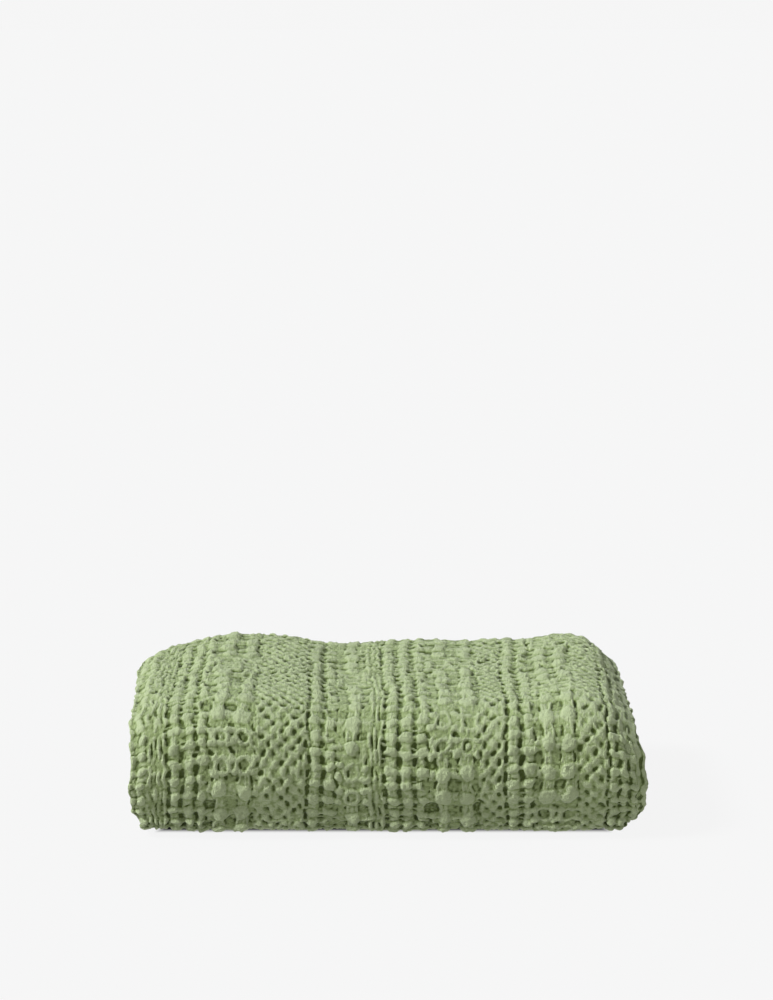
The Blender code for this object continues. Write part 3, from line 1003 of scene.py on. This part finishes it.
class THROW_OT_outer_ply(bpy.types.Operator):
    """Lay the outer ply round the stack, with the full depth of its puffs"""

    bl_idname = "throw.outer_ply"
    bl_label = "Outer ply"
    bl_options = {"REGISTER", "UNDO"}

    def execute(self, context):
        chosen = settings()
        weave = WeaveMap(chosen.weave_seed)
        shift = fit_shift()
        step = chosen.fineness
        body = spaced(-1.0, 1.0, step / HALF_LENGTH)
        stations = make_stations(body)
        count = len(stations)
        seam = int(np.argmin(np.abs(stations[:, 0] * HALF_LENGTH - SEAM_AT)))
        end_at = PATH.start_of(1) + PAST_FOLD
        unseen = np.arange(0.0, NOSE_FROM, UNSEEN_STEP)
        seen = spaced(NOSE_FROM, end_at, step)
        inside = spaced(0.0, end_at, UNSEEN_STEP)
        for name, low, high in (("outer_ply_left", 0, seam), ("outer_ply_right", seam, count - 1)):
            every = np.arange(low, high + 1)
            few = np.unique(np.concatenate((every[:8], every[::8], every[-8:])))
            ply = Ply(name, stations, weave)
            for at in unseen:
                ply.add_row(at, 1.0, few, flat=True)
            for at in seen:
                ply.add_row(at, 1.0, every)
            for at in inside[::-1]:
                ply.add_row(at, -1.0, few, flat=True)
            hem_rows(ply, 0.0, few, -1.0)
            item = ply.build(shift, seam_stations=(seam,))
            declare(item)
        return {"FINISHED"}


class THROW_OT_inner_plies(bpy.types.Operator):
    """Lay the plies inside the stack, seen at both ends and at the back"""

    bl_idname = "throw.inner_plies"
    bl_label = "Inner plies"
    bl_options = {"REGISTER", "UNDO"}

    def execute(self, context):
        chosen = settings()
        weave = WeaveMap(chosen.weave_seed)
        shift = fit_shift()
        near = np.array((0.0, 0.0012, 0.0026, 0.0045, 0.007, 0.010, 0.014)) / HALF_LENGTH
        middle = spaced(-1.0 + near[-1] * 1.5, 1.0 - near[-1] * 1.5,
                        INNER_STEP / HALF_LENGTH)
        stations = make_stations(np.concatenate((near - 1.0, middle, (1.0 - near)[::-1])))
        count = len(stations)
        every = np.arange(count)
        ends = np.concatenate((every[:13], every[-13:]))
        few = np.unique(np.concatenate((ends, np.linspace(13, count - 14, 9).astype(int))))
        ply = Ply("inner_plies", stations, weave)
        start = PATH.start_of(1) + PAST_FOLD
        lengths = spaced(start, PATH.total, INNER_ROW_STEP)
        y_here = PATH.at(lengths)[0]
        at_back = y_here > BACK_Y - BACK_DEPTH
        for at, back in zip(lengths, at_back):
            ply.add_row(at, 1.0, every if back else few)
        hem_rows(ply, PATH.total, few, 1.0)
        for at, back in zip(lengths[::-1], at_back[::-1]):
            ply.add_row(at, -1.0, every if back else few)
        item = ply.build(shift)
        declare(item)
        return {"FINISHED"}


class THROW_OT_studio(bpy.types.Operator):
    """Set up the pale floor, the soft light and the camera"""

    bl_idname = "throw.studio"
    bl_label = "Studio"
    bl_options = {"REGISTER", "UNDO"}

    def execute(self, context):
        chosen = stage_settings()
        self.add_floor(context, chosen)
        self.add_surround(context, chosen)
        self.add_key(context, chosen)
        self.add_camera(context, chosen)
        context.scene.view_settings.view_transform = "Standard"
        context.scene.view_settings.look = "None"
        context.scene.view_settings.exposure = 0.0
        context.scene.view_settings.gamma = 1.0
        return {"FINISHED"}

    def add_floor(self, context, chosen):
        """Plain pale floor that glows by itself, with a painted shadow where the throw covers it.
        """
        bpy.ops.object.select_all(action="DESELECT")
        bpy.ops.mesh.primitive_plane_add(size=60.0, location=(0.0, 0.0, 0.0))
        floor = context.active_object
        floor.name = "studio_floor"
        paint = bpy.data.materials.new("studio_floor")
        paint.use_nodes = True
        shader = paint.node_tree.nodes["Principled BSDF"]
        grey = chosen.floor_grey
        set_inputs(shader, {"Base Color": (grey, grey, grey, 1.0), "Roughness": 1.0,
                            "Emission Color": (1.0, 1.0, 1.0, 1.0), "Specular IOR Level": 0.0})
        self.glow_floor_round_painted_shadow(paint.node_tree, shader, chosen.floor_glow)
        floor.data.materials.append(paint)

    @staticmethod
    def glow_floor_round_painted_shadow(tree, shader, glow):
        """Let the floor glow all round, but not where the throw covers it, which paints a dark
        shadow under the throw.
        """
        low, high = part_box(NODE)
        place = tree.nodes.new("ShaderNodeTexCoord")
        parts = tree.nodes.new("ShaderNodeSeparateXYZ")
        tree.links.new(place.outputs["Object"], parts.inputs["Vector"])
        outside_painted_shadow = []
        for axis, name in enumerate(("X", "Y")):
            middle = (low[axis] + high[axis]) / 2.0
            edge = (high[axis] - low[axis]) / 2.0 - PAINTED_SHADOW_INSET[axis]
            shifted = combine(tree, "SUBTRACT", parts.outputs[name], middle)
            away = combine(tree, "ABSOLUTE", shifted)
            outside_painted_shadow.append(map_range(tree, away, (edge - PAINTED_SHADOW_FADE, edge), (0.0, 1.0), True))
        glow_outside_painted_shadow = combine(tree, "MAXIMUM", *outside_painted_shadow)
        strength = combine(tree, "MULTIPLY", glow_outside_painted_shadow, glow)
        tree.links.new(strength, shader.inputs["Emission Strength"])

    @staticmethod
    def add_surround(context, chosen):
        """Plain bright surround, dimmer overhead and brighter on the left."""
        world = bpy.data.worlds.new("studio_surround")
        world.use_nodes = True
        tree = world.node_tree
        sky = tree.nodes["Background"]
        sky.inputs["Color"].default_value = (1.0, 1.0, 1.0, 1.0)
        toward_sky = tree.nodes.new("ShaderNodeTexCoord")
        parts = tree.nodes.new("ShaderNodeSeparateXYZ")
        tree.links.new(toward_sky.outputs["Generated"], parts.inputs["Vector"])
        strength = map_range(tree, parts.outputs["Z"], (0.22, 0.55),
                             (chosen.surround, chosen.ceiling), True)
        for old, new in (((-0.80, -0.22), (1.30, 1.0)), ((0.22, 0.80), (1.0, 0.78))):
            side = map_range(tree, parts.outputs["X"], old, new, True)
            strength = combine(tree, "MULTIPLY", strength, side)
        tree.links.new(strength, sky.inputs["Strength"])
        context.scene.world = world

    @staticmethod
    def add_key(context, chosen):
        """Broad soft light from the upper left."""
        bpy.ops.object.light_add(type="SUN", location=(-1.2, -1.0, 2.4))
        key = context.active_object
        key.name = "key_light"
        key.data.energy = chosen.key_strength
        key.data.color = (0.98, 1.0, 1.03)
        key.data.angle = math.radians(14.0)
        toward = Vector((0.92, 0.12, -0.95))
        key.rotation_euler = toward.to_track_quat("-Z", "Y").to_euler()

    @staticmethod
    def add_camera(context, chosen):
        """Camera at the photograph's viewing angle, with the throw low in the picture."""
        low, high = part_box(NODE)
        middle = Vector([(low[i] + high[i]) / 2.0 for i in range(3)])
        away = Vector((0.0, -math.cos(chosen.elevation), math.sin(chosen.elevation)))
        aside = Vector((chosen.aside, 0.0, 0.0))
        view = bpy.data.cameras.new("camera")
        view.sensor_fit = "AUTO"
        view.sensor_width = 36.0
        view.lens = 90.0
        view.dof.use_dof = False
        camera = bpy.data.objects.new("camera", view)
        camera.location = middle + away * chosen.distance + aside
        camera.rotation_euler = (math.pi / 2.0 - chosen.elevation + THROW_BELOW, 0.0, 0.0)
        context.scene.collection.objects.link(camera)
        context.scene.camera = camera


class THROW_PT_sidebar(bpy.types.Panel):
    """Steps and sizes of the folded throw"""

    bl_label = "Folded throw"
    bl_idname = "THROW_PT_sidebar"
    bl_space_type = "VIEW_3D"
    bl_region_type = "UI"
    bl_category = "Throw"

    def draw(self, context):
        layout = self.layout
        for group in (context.scene.throw_cloth, context.scene.throw_stage):
            box = layout.box()
            for name in group.bl_rna.properties.keys():
                if name not in ("rna_type", "name"):
                    box.prop(group, name)
        layout.operator(THROW_OT_studio.bl_idname)
        layout.operator(THROW_OT_outer_ply.bl_idname)
        layout.operator(THROW_OT_inner_plies.bl_idname)


CLASSES = (ThrowCloth, ThrowStage, THROW_OT_outer_ply, THROW_OT_inner_plies, THROW_OT_studio,
           THROW_PT_sidebar)


def register():
    for item in CLASSES:
        bpy.utils.register_class(item)
    bpy.types.Scene.throw_cloth = PointerProperty(type=ThrowCloth)
    bpy.types.Scene.throw_stage = PointerProperty(type=ThrowStage)


def unregister():
    del bpy.types.Scene.throw_stage
    del bpy.types.Scene.throw_cloth
    for item in reversed(CLASSES):
        bpy.utils.unregister_class(item)


def main():
    register()
    bpy.ops.throw.studio()
    bpy.ops.throw.outer_ply()
    bpy.ops.throw.inner_plies()


if __name__ == "__main__":
    main()
